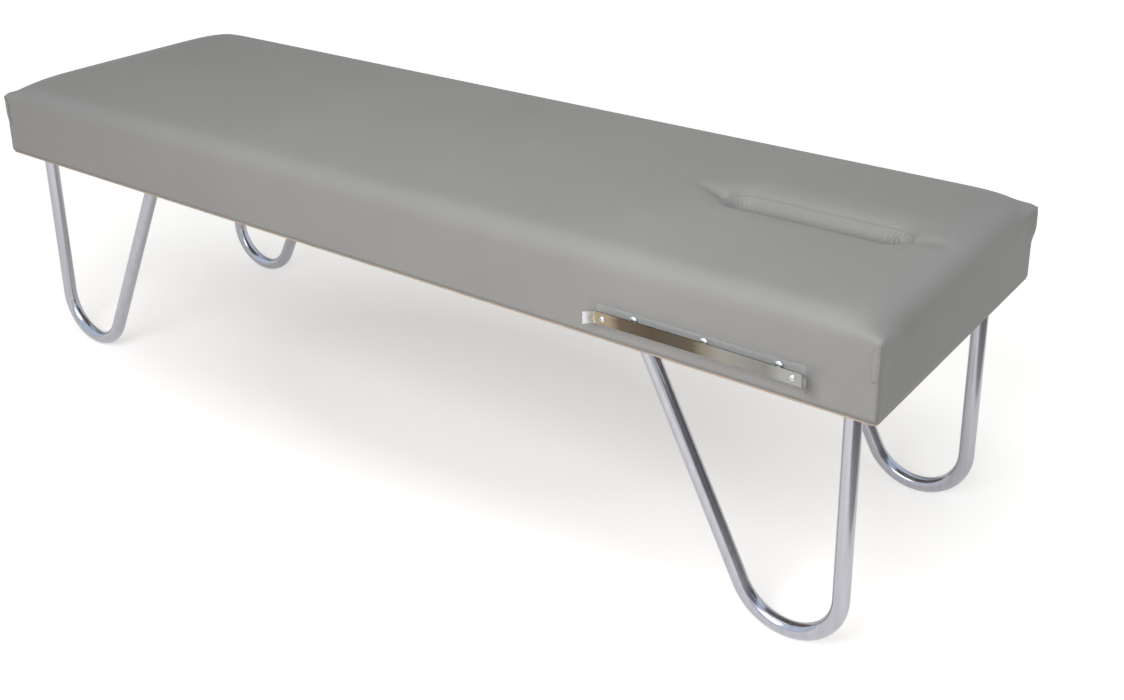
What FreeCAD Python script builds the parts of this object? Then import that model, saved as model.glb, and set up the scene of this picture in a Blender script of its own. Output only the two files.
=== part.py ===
# Padded adjusting bench with a face slot, a headrest-paper strip and four hairpin legs.
# Millimetres. X runs along the bench to the head end, Y away from the paper strip, Z up.
# The origin is on the floor under the middle of the bench.
import FreeCAD, Part
import math
import os
import Sketcher

Vector = FreeCAD.Vector
Rotation = FreeCAD.Rotation
Placement = FreeCAD.Placement
UP = Vector(0, 0, 1)

doc = FreeCAD.newDocument("AdjustingBench")

# Driving dimensions
SIZES = {
    "bench_length": 1880,
    "bench_width": 564,
    "underside_height": 410,
    "panel_thickness": 3,
    "panel_inset": 1,
    "rail_height": 56,
    "rail_thickness": 19,
    "deck_thickness": 12,
    "vinyl_thickness": 1.5,
    "foam_thickness": 68,
    "nose_radius": 33,
    "nose_height": 23,
    "shoulder_run": 108,
    "crown_rise": 4,
    "end_shoulder_run": 96,
    "end_crown_lift": 1,
    "end_crown_rise": 0.5,
    "corner_radius": 8,
    "slot_end_inset": 87,
    "slot_length": 296,
    "slot_width": 64,
    "slot_lip_radius": 16,
    "slot_relief": 20,
    "tube_diameter": 25.4,
    "tube_wall": 1.8,
    "leg_bend_radius": 83,
    "leg_end_inset": 53,
    "leg_side_inset": 49.5,
    "leg_span": 330,
    "strap_thickness": 5,
    "strap_width": 50,
    "strap_overhang": 33,
    "strap_corner_radius": 8,
    "leg_board_thickness": 18,
    "leg_board_width": 110,
    "leg_board_margin": 4.5,
    "bolt_diameter": 6,
    "bolt_head_diameter": 13,
    "bolt_head_height": 4,
    "bolt_row": 17,
    "bolt_margin": 16,
    "nut_flange_diameter": 17,
    "nut_flange_thickness": 1.5,
    "nut_barrel_diameter": 8,
    "nut_barrel_length": 9,
    "bolt_tail": 2,
    "screw_diameter": 4,
    "screw_head_diameter": 8,
    "screw_head_height": 2.8,
    "screw_bite": 24,
    "panel_screw_margin": 58.5,
    "deck_screw_margin": 98.5,
    "end_screw_margin": 140.5,
    "frame_screw_margin": 14,
    "fit_clearance": 0.1,
    "plate_end_inset": 265,
    "plate_length": 330,
    "plate_height": 32,
    "plate_thickness": 3,
    "plate_lift": 24,
    "plate_corner_radius": 4,
    "plate_screw_pitch": 114,
    "plate_screw_shift": 12,
    "plate_screw_lift": 47,
    "plate_screw_head": 13,
    "plate_screw_dome": 2.6,
    "strip_height": 19,
    "strip_thickness": 1.6,
    "strip_lift": 30,
    "strip_standoff": 9.5,
    "strip_bow": 2,
    "strip_half_length": 162,
    "strip_bend_radius": 6,
    "strip_tab_length": 15,
    "strip_tab_angle": 45,
    "strip_screw_half_pitch": 150,
    "strip_screw_head": 9,
    "spacer_diameter": 12,
}
sheet = doc.addObject("Spreadsheet::Sheet", "Sizes")
for row, (alias, value) in enumerate(SIZES.items(), start=1):
    sheet.set("A%d" % row, alias)
    sheet.set("B%d" % row, str(value))
    sheet.setAlias("B%d" % row, alias)
doc.recompute()

# Levels and half sizes that several pieces share, as expressions on the sheet
CORE_LENGTH = "(Sizes.bench_length / 2 - Sizes.vinyl_thickness)"
CORE_WIDTH = "(Sizes.bench_width / 2 - Sizes.vinyl_thickness)"
INNER_LENGTH = "(%s - Sizes.rail_thickness)" % CORE_LENGTH
INNER_WIDTH = "(%s - Sizes.rail_thickness)" % CORE_WIDTH
PANEL_TOP = "(Sizes.underside_height + Sizes.panel_thickness)"
RAIL_BOTTOM = "(%s + Sizes.vinyl_thickness)" % PANEL_TOP
DECK_BOTTOM = "(%s + Sizes.rail_height)" % RAIL_BOTTOM
DECK_TOP = "(%s + Sizes.deck_thickness)" % DECK_BOTTOM
CROWN_TOP = "(%s + Sizes.foam_thickness)" % DECK_TOP
STRAP_BOTTOM = "(Sizes.underside_height - Sizes.strap_thickness)"
STRAP_LENGTH = "(Sizes.leg_span + 2 * Sizes.strap_overhang)"
LEG_X = "(Sizes.bench_length / 2 - Sizes.leg_end_inset)"
LEG_Y = "(Sizes.bench_width / 2 - Sizes.leg_side_inset)"
STRAP_X = "(%s - Sizes.leg_span / 2)" % LEG_X
LEG_BOARD_LENGTH = ("(%s - %s + %s / 2 + Sizes.leg_board_margin)"
                    % (INNER_LENGTH, STRAP_X, STRAP_LENGTH))
SLOT_CENTRE = "(Sizes.bench_length / 2 - Sizes.slot_end_inset - Sizes.slot_length / 2)"
PLATE_CENTRE = "(Sizes.bench_length / 2 - Sizes.plate_end_inset)"
FRONT = "(-Sizes.bench_width / 2)"
# How far a cutter runs past the faces that it goes through
OVERCUT = 5

finished = []


def number(expression):
    """Value of an expression on the sheet, as a plain float."""
    return float(sheet.evalExpression(str(expression)))


def bind(item, **expressions):
    """Tie properties of an object to the sheet."""
    for name, expression in expressions.items():
        item.setExpression(name, str(expression))


def place(item, x, y, z, turn=0):
    """Put an object at a sheet-driven position, turned about the vertical."""
    item.Placement = Placement(Vector(0, 0, 0), Rotation(UP, turn))
    for axis, expression in zip("xyz", (x, y, z)):
        item.setExpression("Placement.Base." + axis, str(expression))


def finish(item, label):
    """Mark an object as one of the bench's pieces."""
    item.Label = label
    finished.append(item)
    return item


def box(name, length, width, height, centre_x, centre_y, bottom):
    """Block centred in plan on a point and standing on a level."""
    item = doc.addObject("Part::Box", name)
    bind(item, Length=length, Width=width, Height=height)
    place(item, "%s - (%s) / 2" % (centre_x, length), "%s - (%s) / 2" % (centre_y, width), bottom)
    return item


def feature(name, shape):
    """Document object for a shape made by Part functions."""
    item = doc.addObject("Part::Feature", name)
    item.Shape = shape
    return item


def cut(name, base, *tools):
    """Base less one or more tools."""
    tool = tools[0]
    if len(tools) > 1:
        tool = doc.addObject("Part::MultiFuse", name + "_tools")
        tool.Shapes = list(tools)
    item = doc.addObject("Part::Cut", name)
    item.Base = base
    item.Tool = tool
    return item


def extrude(name, base, direction, length):
    """Face pushed along a direction by a sheet-driven length."""
    item = doc.addObject("Part::Extrusion", name)
    item.Base = base
    item.DirMode = "Custom"
    item.Dir = direction
    item.Solid = True
    bind(item, LengthFwd=length)
    return item


def turned(points):
    """Solid of revolution about Z from a profile of radius and height pairs."""
    corners = [Vector(radius, 0, height) for radius, height in points]
    face = Part.Face(Part.makePolygon(corners + corners[:1]))
    return face.revolve(Vector(0, 0, 0), UP, 360)


def repeated(solid, spots, direction=UP):
    """Copies of a solid at many points, its Z axis laid along a direction."""
    turn = Rotation(UP, direction)
    copies = []
    for spot in spots:
        copy = solid.copy()
        copy.Placement = Placement(spot, turn)
        copies.append(copy)
    return Part.makeCompound(copies)


def drilled(radius, depth, spots, direction):
    """Round holes that start a little outside their faces."""
    start = 1
    drill = Part.makeCylinder(radius, depth + start, Vector(0, 0, -start))
    return repeated(drill, spots, direction)


def sketch_on(body, name, plane):
    """Sketch on one of the body's own origin planes."""
    item = body.newObject("Sketcher::SketchObject", name)
    for datum in body.Origin.OriginFeatures:
        if datum.Role == plane:
            item.AttachmentSupport = [(datum, "")]
    item.MapMode = "FlatFace"
    return item


def dimension(sketch, constraint, expression):
    """Sketch dimension tied to the sheet."""
    index = sketch.addConstraint(constraint)
    sketch.setExpression("Constraints[%d]" % index, str(expression))


def centred_rectangle(sketch, width, height):
    """Rectangle about the sketch origin."""
    half_w = number(width) / 2
    half_h = number(height) / 2
    corners = [Vector(-half_w, -half_h, 0), Vector(half_w, -half_h, 0),
               Vector(half_w, half_h, 0), Vector(-half_w, half_h, 0)]
    sides = [sketch.addGeometry(Part.LineSegment(corners[i], corners[(i + 1) % 4])) for i in range(4)]
    for i in range(4):
        sketch.addConstraint(Sketcher.Constraint("Coincident", sides[i], 2, sides[(i + 1) % 4], 1))
    for i in (0, 2):
        sketch.addConstraint(Sketcher.Constraint("Horizontal", sides[i]))
        sketch.addConstraint(Sketcher.Constraint("Vertical", sides[i + 1]))
    sketch.addConstraint(Sketcher.Constraint("Symmetric", sides[0], 1, sides[2], 1, -1, 1))
    dimension(sketch, Sketcher.Constraint("DistanceX", sides[0], 1, sides[0], 2, 2 * half_w), width)
    dimension(sketch, Sketcher.Constraint("DistanceY", sides[1], 1, sides[1], 2, 2 * half_h), height)


def offset_point(sketch, element, axis, sign, expression):
    """Hold a circle's centre at a signed distance from the sketch origin."""
    value = number(expression)
    kind = "DistanceX" if axis == 0 else "DistanceY"
    if sign == 0:
        sketch.addConstraint(Sketcher.Constraint("PointOnObject", element, 3, -2 if axis == 0 else -1))
    elif sign > 0:
        dimension(sketch, Sketcher.Constraint(kind, -1, 1, element, 3, value), expression)
    else:
        dimension(sketch, Sketcher.Constraint(kind, element, 3, -1, 1, value), expression)


def circle(sketch, sign_x, along, sign_y, across, radius):
    """Dimensioned circle at a signed place in a sketch."""
    centre = Vector(sign_x * number(along), sign_y * number(across), 0)
    element = sketch.addGeometry(Part.Circle(centre, Vector(0, 0, 1), number(radius)))
    offset_point(sketch, element, 0, sign_x, along)
    offset_point(sketch, element, 1, sign_y, across)
    dimension(sketch, Sketcher.Constraint("Radius", element, number(radius)), radius)


def pad_plate(body, sketch, thickness, name):
    """Plate of a sketch's outline."""
    pad = body.newObject("PartDesign::Pad", name)
    pad.Profile = sketch
    bind(pad, Length=thickness)
    return pad


def round_upright_edges(body, pad, radius, name):
    """Round the four outer corners of a plate padded from a sketch."""
    doc.recompute()
    bounds = pad.Shape.BoundBox
    names = []
    for index, edge in enumerate(pad.Shape.Edges, start=1):
        middle = edge.CenterOfMass
        on_corner = abs(abs(middle.x) - bounds.XMax) < 0.01 and abs(abs(middle.y) - bounds.YMax) < 0.01
        if on_corner:
            names.append("Edge%d" % index)
    fillet = body.newObject("PartDesign::Fillet", name)
    fillet.Base = (pad, names)
    bind(fillet, Radius=radius)
    body.Tip = fillet


# Padded top: the outline of the upholstery across one direction
def pad_outline(half, base, top, rise, run, growth, point):
    """Closed outline from a level, up the flat side, over the nose, shoulder and crown."""
    nose_radius = number("Sizes.nose_radius") + growth
    nose_u = half - nose_radius
    nose_z = number(DECK_TOP + " + Sizes.nose_height")
    # The shoulder arc is tangent to the crown at its inner end and to the nose at its outer end
    inner_u, inner_z = half - growth - run, top - rise
    crown_radius = (inner_u ** 2 + rise ** 2) / (2 * rise)
    down_u, down_z = -inner_u / crown_radius, (top - crown_radius - inner_z) / crown_radius
    from_u, from_z = inner_u - nose_u, inner_z - nose_z
    gap = from_u ** 2 + from_z ** 2 - nose_radius ** 2
    shoulder_radius = -gap / (2 * (from_u * down_u + from_z * down_z + nose_radius))
    shoulder_u = inner_u + shoulder_radius * down_u
    shoulder_z = inner_z + shoulder_radius * down_z
    meet = math.atan2(nose_z - shoulder_z, nose_u - shoulder_u)
    last = math.atan2(inner_z - shoulder_z, inner_u - shoulder_u)

    def arc(side, centre_u, centre_z, radius, first, final):
        spots = [(centre_u + radius * math.cos(angle), centre_z + radius * math.sin(angle))
                 for angle in (first, (first + final) / 2, final)]
        return Part.Arc(*[point(side * u, z) for u, z in spots]).toShape()

    edges = [Part.makeLine(point(-half, base), point(half, base))]
    for side in (1, -1):
        edges.append(Part.makeLine(point(side * half, base), point(side * half, nose_z)))
        edges.append(arc(side, nose_u, nose_z, nose_radius, 0, meet))
        edges.append(arc(side, shoulder_u, shoulder_z, shoulder_radius, meet, last))
    crown = Part.Arc(point(inner_u, inner_z), point(0, top), point(-inner_u, inner_z))
    edges.append(crown.toShape())
    return Part.Face(Part.Wire(Part.__sortEdges__(edges)))


def rounded_plan(half_x, half_y, radius, level):
    """Rectangle with round corners at a level."""
    plan = Part.makePlane(2 * half_x, 2 * half_y, Vector(-half_x, -half_y, level))
    solid = plan.extrude(Vector(0, 0, 1))
    uprights = [edge for edge in solid.Edges if edge.BoundBox.ZLength > 0.5]
    rounded = solid.makeFillet(radius, uprights)
    return min(rounded.Faces, key=lambda face: face.CenterOfMass.z)


def stadium(length, width, level):
    """Face of a slot with round ends about the face-slot centre."""
    centre = number(SLOT_CENTRE)
    radius = width / 2
    reach = length / 2 - radius
    left, right = centre - reach, centre + reach
    edges = [
        Part.makeLine(Vector(left, -radius, level), Vector(right, -radius, level)),
        Part.Arc(Vector(right, -radius, level), Vector(right + radius, 0, level),
                 Vector(right, radius, level)).toShape(),
        Part.makeLine(Vector(right, radius, level), Vector(left, radius, level)),
        Part.Arc(Vector(left, radius, level), Vector(left - radius, 0, level),
                 Vector(left, -radius, level)).toShape(),
    ]
    return Part.Face(Part.Wire(edges))


def slot_tool(name, growth, bottom, height):
    """Upright cutter with the face slot's outline, grown on every side."""
    length = number("Sizes.slot_length") + 2 * growth
    width = number("Sizes.slot_width") + 2 * growth
    outline = feature(name + "_outline", stadium(length, width, number(bottom)))
    return extrude(name, outline, UP, height)


def upholstery_form(name, growth, base, lip):
    """Crowned form with a rolled face slot, grown outwards by the cover's thickness."""
    half_x = number(CORE_LENGTH) + growth
    half_y = number(CORE_WIDTH) + growth
    top = number(CROWN_TOP) + growth
    low = number(base)
    margin = 40
    reach_x, reach_y = half_x + margin, half_y + margin
    across = feature(name + "_across", pad_outline(
        half_y, low, top, number("Sizes.crown_rise"), number("Sizes.shoulder_run"), growth,
        lambda u, z: Vector(-reach_x, u, z)))
    along = feature(name + "_along", pad_outline(
        half_x, low, top + number("Sizes.end_crown_lift"), number("Sizes.end_crown_rise"),
        number("Sizes.end_shoulder_run"), growth, lambda u, z: Vector(u, -reach_y, z)))
    corner = number("Sizes.corner_radius") + growth
    plan = feature(name + "_plan", rounded_plan(half_x, half_y, corner, low))
    form = doc.addObject("Part::MultiCommon", name + "_form")
    form.Shapes = [
        extrude(name + "_across_bar", across, Vector(1, 0, 0), 2 * reach_x),
        extrude(name + "_along_bar", along, Vector(0, 1, 0), 2 * reach_y),
        extrude(name + "_plan_bar", plan, UP, top - low + margin),
    ]
    slot_growth = number("Sizes.vinyl_thickness") - growth
    slot = slot_tool(name + "_slot", slot_growth, low - margin, top - low + 2 * margin)
    slotted = cut(name + "_slotted", form, slot)
    doc.recompute()
    deck = number(DECK_TOP)
    lip_edges = []
    reach = number("Sizes.slot_length") / 2 + margin / 4
    for index, edge in enumerate(slotted.Shape.Edges, start=1):
        bounds = edge.BoundBox
        inside = abs(bounds.Center.x - number(SLOT_CENTRE)) < reach
        inside = inside and abs(bounds.Center.y) < number("Sizes.slot_width")
        if inside and bounds.ZMin > deck and bounds.ZLength < number("Sizes.foam_thickness") / 4:
            lip_edges.append((index, lip, lip))
    rolled = doc.addObject("Part::Fillet", name + "_rolled")
    rolled.Base = slotted
    rolled.Edges = lip_edges
    return rolled


# Foam pad, crowned and drawn in at the deck, with the face slot through it
lip_radius = number("Sizes.slot_lip_radius")
vinyl = number("Sizes.vinyl_thickness")
finish(upholstery_form("foam", 0, DECK_TOP, lip_radius - vinyl), "foam_pad")

# Screw and bolt places on the frame
def rail_spots(margin, level):
    """Points along the middle of the four rails: five on a long rail, two on an end rail."""
    pitch = (number(CORE_LENGTH) - number(margin)) / 2
    spread = number(CORE_WIDTH + " - Sizes.end_screw_margin")
    rail_x = number(CORE_LENGTH) - number("Sizes.rail_thickness") / 2
    rail_y = number(CORE_WIDTH) - number("Sizes.rail_thickness") / 2
    spots = [Vector(step * pitch, side * rail_y, level)
             for side in (-1, 1) for step in (-2, -1, 0, 1, 2)]
    spots += [Vector(end * rail_x, side * spread, level)
              for end in (-1, 1) for side in (-1, 1)]
    return spots


panel_spots = rail_spots("Sizes.panel_screw_margin", number("Sizes.underside_height"))
deck_spots = rail_spots("Sizes.deck_screw_margin", number(DECK_TOP))
bolt_spots = []
for end in (-1, 1):
    for side in (-1, 1):
        station = number(STRAP_LENGTH) / 2 - number("Sizes.bolt_margin")
        for along in (-station, 0, station):
            for row in (-1, 1):
                bolt_spots.append(Vector(end * (number(STRAP_X) + along),
                                         side * number(LEG_Y) + row * number("Sizes.bolt_row"),
                                         number(STRAP_BOTTOM)))
frame_spots = {-1: [], 1: []}
for side in (-1, 1):
    for end in (-1, 1):
        for level in (RAIL_BOTTOM + " + Sizes.frame_screw_margin",
                      DECK_BOTTOM + " - Sizes.frame_screw_margin"):
            frame_spots[side].append(Vector(
                end * (number(CORE_LENGTH) - number("Sizes.rail_thickness") / 2),
                side * number(CORE_WIDTH), number(level)))
plate_spots = []
for step in (-1, 0, 1):
    plate_spots.append(Vector(
        number(PLATE_CENTRE + " + Sizes.plate_screw_shift") + step * number("Sizes.plate_screw_pitch"),
        number(FRONT) - number("Sizes.plate_thickness"),
        number("Sizes.underside_height + Sizes.plate_screw_lift")))
# The bowed strip lies a little nearer to the plate at its screws than at its bends
STRIP_SAG = ("(Sizes.strip_bow * (1 - (Sizes.strip_screw_half_pitch / Sizes.strip_half_length) ^ 2))")
STRIP_BACK = "(Sizes.strip_standoff - %s)" % STRIP_SAG
strip_spots = []
for step in (-1, 1):
    strip_spots.append(Vector(
        number(PLATE_CENTRE) + step * number("Sizes.strip_screw_half_pitch"),
        number(FRONT) - number(STRIP_BACK + " + Sizes.strip_thickness"),
        number("Sizes.underside_height + Sizes.strip_lift + Sizes.strip_height / 2")))

clearance = number("Sizes.fit_clearance")
screw_hole = number("Sizes.screw_diameter") / 2 + clearance
bite = number("Sizes.screw_bite")
INTO = Vector(0, 1, 0)
OUT = Vector(0, -1, 0)
DOWN = Vector(0, 0, -1)


def flush_screw(length):
    """Countersunk wood screw, its head face at zero and its point along Z."""
    head = number("Sizes.screw_head_diameter") / 2
    shank = number("Sizes.screw_diameter") / 2
    neck = head - shank
    return turned([(0, 0), (head, 0), (shank, neck), (shank, length - 2 * shank), (0, length)])


def flush_hole(length):
    """Seat for a countersunk screw, with the fit's clearance."""
    head = number("Sizes.screw_head_diameter") / 2 + clearance
    shank = screw_hole
    neck = head - shank
    return turned([(0, -1), (head, -1), (head, 0), (shank, neck), (shank, length + clearance),
                   (0, length + clearance)])


def domed_screw(head_diameter, dome, length):
    """Round-head screw, the underside of its head at zero and its point along Z."""
    head = head_diameter / 2
    shank = number("Sizes.screw_diameter") / 2
    outline = [
        Part.Arc(Vector(0, 0, -dome), Vector(head * 0.62, 0, -dome * 0.8),
                 Vector(head, 0, -dome * 0.25)).toShape(),
        Part.makePolygon([Vector(head, 0, -dome * 0.25), Vector(head, 0, 0), Vector(shank, 0, 0),
                          Vector(shank, 0, length - 2 * shank), Vector(0, 0, length),
                          Vector(0, 0, -dome)]),
    ]
    face = Part.Face(Part.Wire(outline[:1] + outline[1].Edges))
    solid = face.revolve(Vector(0, 0, 0), UP, 360)
    # A cross recess driven into the dome
    blade = head_diameter * 0.5
    slit = head_diameter * 0.1
    recess = Part.makeBox(blade, slit, dome, Vector(-blade / 2, -slit / 2, -dome * 1.5))
    return solid.cut(recess.fuse(recess.rotated(Vector(0, 0, 0), UP, 90)))


# Timber box: two long rails, two end rails and three braces between the long rails
frame_length = bite + number("Sizes.rail_thickness")
deck_length = bite + number("Sizes.deck_thickness")
panel_length = bite / 2 + number("Sizes.panel_thickness")
frame_seats = {side: repeated(flush_hole(frame_length), frame_spots[side], INTO if side < 0 else OUT)
               for side in (-1, 1)}
deck_seats = repeated(flush_hole(deck_length), deck_spots, DOWN)
panel_holes = drilled(screw_hole, panel_length + clearance, panel_spots, UP)
plate_reach = number("Sizes.plate_thickness + Sizes.vinyl_thickness") + bite / 2
plate_holes = drilled(screw_hole, plate_reach + clearance, plate_spots, INTO)
strip_reach = number(STRIP_BACK + " + Sizes.strip_thickness + Sizes.vinyl_thickness") + bite / 2
strip_holes = drilled(screw_hole, strip_reach + clearance, strip_spots, INTO)

eased_plan = feature("eased_plan", rounded_plan(
    number(CORE_LENGTH), number(CORE_WIDTH), number("Sizes.corner_radius"), number(RAIL_BOTTOM)))
eased_box = extrude("eased_box", eased_plan, UP, "Sizes.rail_height + Sizes.deck_thickness")


def eased(name, blank):
    """Blank with the box's rounded corners."""
    item = doc.addObject("Part::Common", name)
    item.Base = blank
    item.Tool = eased_box
    return item


for side, label in ((-1, "near_side_rail"), (1, "far_side_rail")):
    blank = box(label + "_blank", "2 * " + CORE_LENGTH, "Sizes.rail_thickness", "Sizes.rail_height",
                "0", "%d * (%s - Sizes.rail_thickness / 2)" % (side, CORE_WIDTH), RAIL_BOTTOM)
    holes = [frame_seats[side], deck_seats, panel_holes]
    if side < 0:
        holes += [plate_holes, strip_holes]
    tools = feature(label + "_holes", Part.makeCompound(holes))
    finish(cut(label, eased(label + "_eased", blank), tools), label)
for end, label in ((1, "head_end_rail"), (-1, "foot_end_rail")):
    blank = box(label + "_blank", "Sizes.rail_thickness", "2 * " + INNER_WIDTH, "Sizes.rail_height",
                "%d * (%s - Sizes.rail_thickness / 2)" % (end, CORE_LENGTH), "0", RAIL_BOTTOM)
    tools = feature(label + "_holes", Part.makeCompound(
        [frame_seats[-1], frame_seats[1], deck_seats, panel_holes]))
    finish(cut(label, blank, tools), label)
BRACE_X = "(%s - %s - Sizes.rail_thickness / 2)" % (INNER_LENGTH, LEG_BOARD_LENGTH)
for end, label in ((1, "head_brace"), (0, "middle_brace"), (-1, "foot_brace")):
    brace = box(label, "Sizes.rail_thickness", "2 * " + INNER_WIDTH, "Sizes.rail_height",
                "%d * %s" % (end, BRACE_X), "0", RAIL_BOTTOM)
    finish(brace, label)

# Leg boards: one plywood block in each corner, drilled for the leg bolts
nut_hole = number("Sizes.nut_barrel_diameter") / 2 + clearance
bolt_hole = number("Sizes.bolt_diameter") / 2 + clearance
bolt_reach = number("Sizes.strap_thickness + Sizes.panel_thickness + Sizes.leg_board_thickness")
for end in (1, -1):
    for side in (-1, 1):
        label = "%s_%s_leg_board" % ("head" if end > 0 else "foot", "near" if side < 0 else "far")
        blank = box(label + "_blank", LEG_BOARD_LENGTH, "Sizes.leg_board_width",
                    "Sizes.leg_board_thickness",
                    "%d * (%s - %s / 2)" % (end, INNER_LENGTH, LEG_BOARD_LENGTH),
                    "%d * (%s - Sizes.leg_board_width / 2)" % (side, INNER_WIDTH), PANEL_TOP)
        tools = feature(label + "_holes", drilled(nut_hole, bolt_reach + OVERCUT, bolt_spots, UP))
        finish(cut(label, blank, tools), label)

# Deck board under the foam, with the face slot cut through it
deck = box("deck_blank", "2 * " + CORE_LENGTH, "2 * " + CORE_WIDTH, "Sizes.deck_thickness",
           "0", "0", DECK_BOTTOM)
deck_slot = slot_tool("deck_slot", vinyl + clearance, number(DECK_BOTTOM) - OVERCUT,
                      number("Sizes.deck_thickness") + 2 * OVERCUT)
finish(cut("deck_board", eased("deck_eased", deck), deck_slot, feature("deck_seats", deck_seats)), "deck_board")

# Hardboard panel that closes the underside, its edge showing below the cover
panel_outline = feature("panel_outline", rounded_plan(
    number("Sizes.bench_length / 2 - Sizes.panel_inset"),
    number("Sizes.bench_width / 2 - Sizes.panel_inset"),
    number("Sizes.corner_radius"), number("Sizes.underside_height")))
panel = extrude("panel_blank", panel_outline, UP, "Sizes.panel_thickness")
panel_slot = slot_tool("panel_slot", number("Sizes.slot_relief"),
                       number("Sizes.underside_height") - OVERCUT,
                       number("Sizes.panel_thickness") + 2 * OVERCUT)
panel_tools = feature("panel_holes", Part.makeCompound(
    [panel_holes, drilled(bolt_hole, bolt_reach, bolt_spots, UP)]))
finish(cut("underside_panel", panel, panel_slot, panel_tools), "underside_panel")

# Vinyl cover: the crowned skin, the box sides, the slot lining and the hem under the rails
outer = upholstery_form("cover", vinyl, PANEL_TOP, lip_radius)
inner = upholstery_form("core", 0, RAIL_BOTTOM, lip_radius - vinyl)
hem_opening = box("hem_opening", "2 * " + INNER_LENGTH, "2 * " + INNER_WIDTH,
                  "%s - %s + %d" % (DECK_BOTTOM, PANEL_TOP, OVERCUT), "0", "0",
                  "%s - %d" % (PANEL_TOP, OVERCUT))
cover_drills = feature("cover_drills", Part.makeCompound([plate_holes, strip_holes, panel_holes]))
finish(cut("vinyl_cover", outer, inner, hem_opening, cover_drills), "vinyl_cover")

# Hairpin legs: a bent tube with one upright run and one slanted run, cut flush under the strap
LEG_DROP = "(%s - Sizes.leg_bend_radius - Sizes.tube_diameter / 2)" % STRAP_BOTTOM
over_run = 30
for end in (1, -1):
    for side in (-1, 1):
        label = "%s_%s_leg" % ("head" if end > 0 else "foot", "near" if side < 0 else "far")
        body = doc.addObject("PartDesign::Body", label)
        spine = sketch_on(body, label + "_spine", "XZ_Plane")
        drop = number(LEG_DROP)
        bend = number("Sizes.leg_bend_radius")
        span = number("Sizes.leg_span")
        # First guess at the slanted run; its tangency is solved by the sketch
        lean = math.radians(18)
        corner = Vector(-bend - bend * math.cos(lean), -drop - bend * math.sin(lean), 0)
        upright = spine.addGeometry(Part.LineSegment(Vector(0, 0, 0), Vector(0, -drop, 0)))
        around = spine.addGeometry(Part.ArcOfCircle(
            Part.Circle(Vector(-bend, -drop, 0), Vector(0, 0, 1), bend), math.pi + lean, 2 * math.pi))
        slanted = spine.addGeometry(Part.LineSegment(corner, Vector(-span - 5, over_run, 0)))
        landing = spine.addGeometry(Part.Point(Vector(-span, 0, 0)), True)
        spine.addConstraint(Sketcher.Constraint("Coincident", upright, 1, -1, 1))
        spine.addConstraint(Sketcher.Constraint("Vertical", upright))
        spine.addConstraint(Sketcher.Constraint("Tangent", upright, 2, around, 2))
        spine.addConstraint(Sketcher.Constraint("Tangent", slanted, 1, around, 1))
        spine.addConstraint(Sketcher.Constraint("PointOnObject", landing, 1, -1))
        spine.addConstraint(Sketcher.Constraint("PointOnObject", landing, 1, slanted))
        dimension(spine, Sketcher.Constraint("DistanceY", upright, 2, upright, 1, drop), LEG_DROP)
        dimension(spine, Sketcher.Constraint("Radius", around, bend), "Sizes.leg_bend_radius")
        dimension(spine, Sketcher.Constraint("DistanceX", landing, 1, -1, 1, span), "Sizes.leg_span")
        spine.addConstraint(Sketcher.Constraint("DistanceY", -1, 1, slanted, 2, over_run))
        ring = sketch_on(body, label + "_ring", "XY_Plane")
        circle(ring, 0, "0", 0, "0", "Sizes.tube_diameter / 2")
        circle(ring, 0, "0", 0, "0", "Sizes.tube_diameter / 2 - Sizes.tube_wall")
        doc.recompute()
        pipe = body.newObject("PartDesign::AdditivePipe", label + "_tube")
        pipe.Profile = ring
        pipe.Spine = (spine, ["Edge1", "Edge2", "Edge3"])
        trim = sketch_on(body, label + "_trim_outline", "XY_Plane")
        centred_rectangle(trim, "4 * Sizes.leg_span", "4 * Sizes.tube_diameter")
        shear = body.newObject("PartDesign::Pocket", label + "_trim")
        shear.Profile = trim
        shear.Length = 2 * over_run
        shear.Reversed = True
        body.Tip = shear
        place(body, "%d * %s" % (end, LEG_X), "%d * %s" % (side, LEG_Y), STRAP_BOTTOM,
              0 if end > 0 else 180)
        finish(body, label)

# Leg straps: a flat bar that both runs of a leg are welded to, bolted under the panel
BOLT_STATION = "(%s / 2 - Sizes.bolt_margin)" % STRAP_LENGTH
for end in (1, -1):
    for side in (-1, 1):
        label = "%s_%s_leg_strap" % ("head" if end > 0 else "foot", "near" if side < 0 else "far")
        body = doc.addObject("PartDesign::Body", label)
        outline = sketch_on(body, label + "_outline", "XY_Plane")
        centred_rectangle(outline, STRAP_LENGTH, "Sizes.strap_width")
        for along in (-1, 0, 1):
            for row in (-1, 1):
                circle(outline, along, BOLT_STATION if along else "0", row, "Sizes.bolt_row",
                       "Sizes.bolt_diameter / 2 + Sizes.fit_clearance")
        pad = pad_plate(body, outline, "Sizes.strap_thickness", label + "_bar")
        round_upright_edges(body, pad, "Sizes.strap_corner_radius", label + "_corners")
        place(body, "%d * %s" % (end, STRAP_X), "%d * %s" % (side, LEG_Y), STRAP_BOTTOM)
        finish(body, label)

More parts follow.
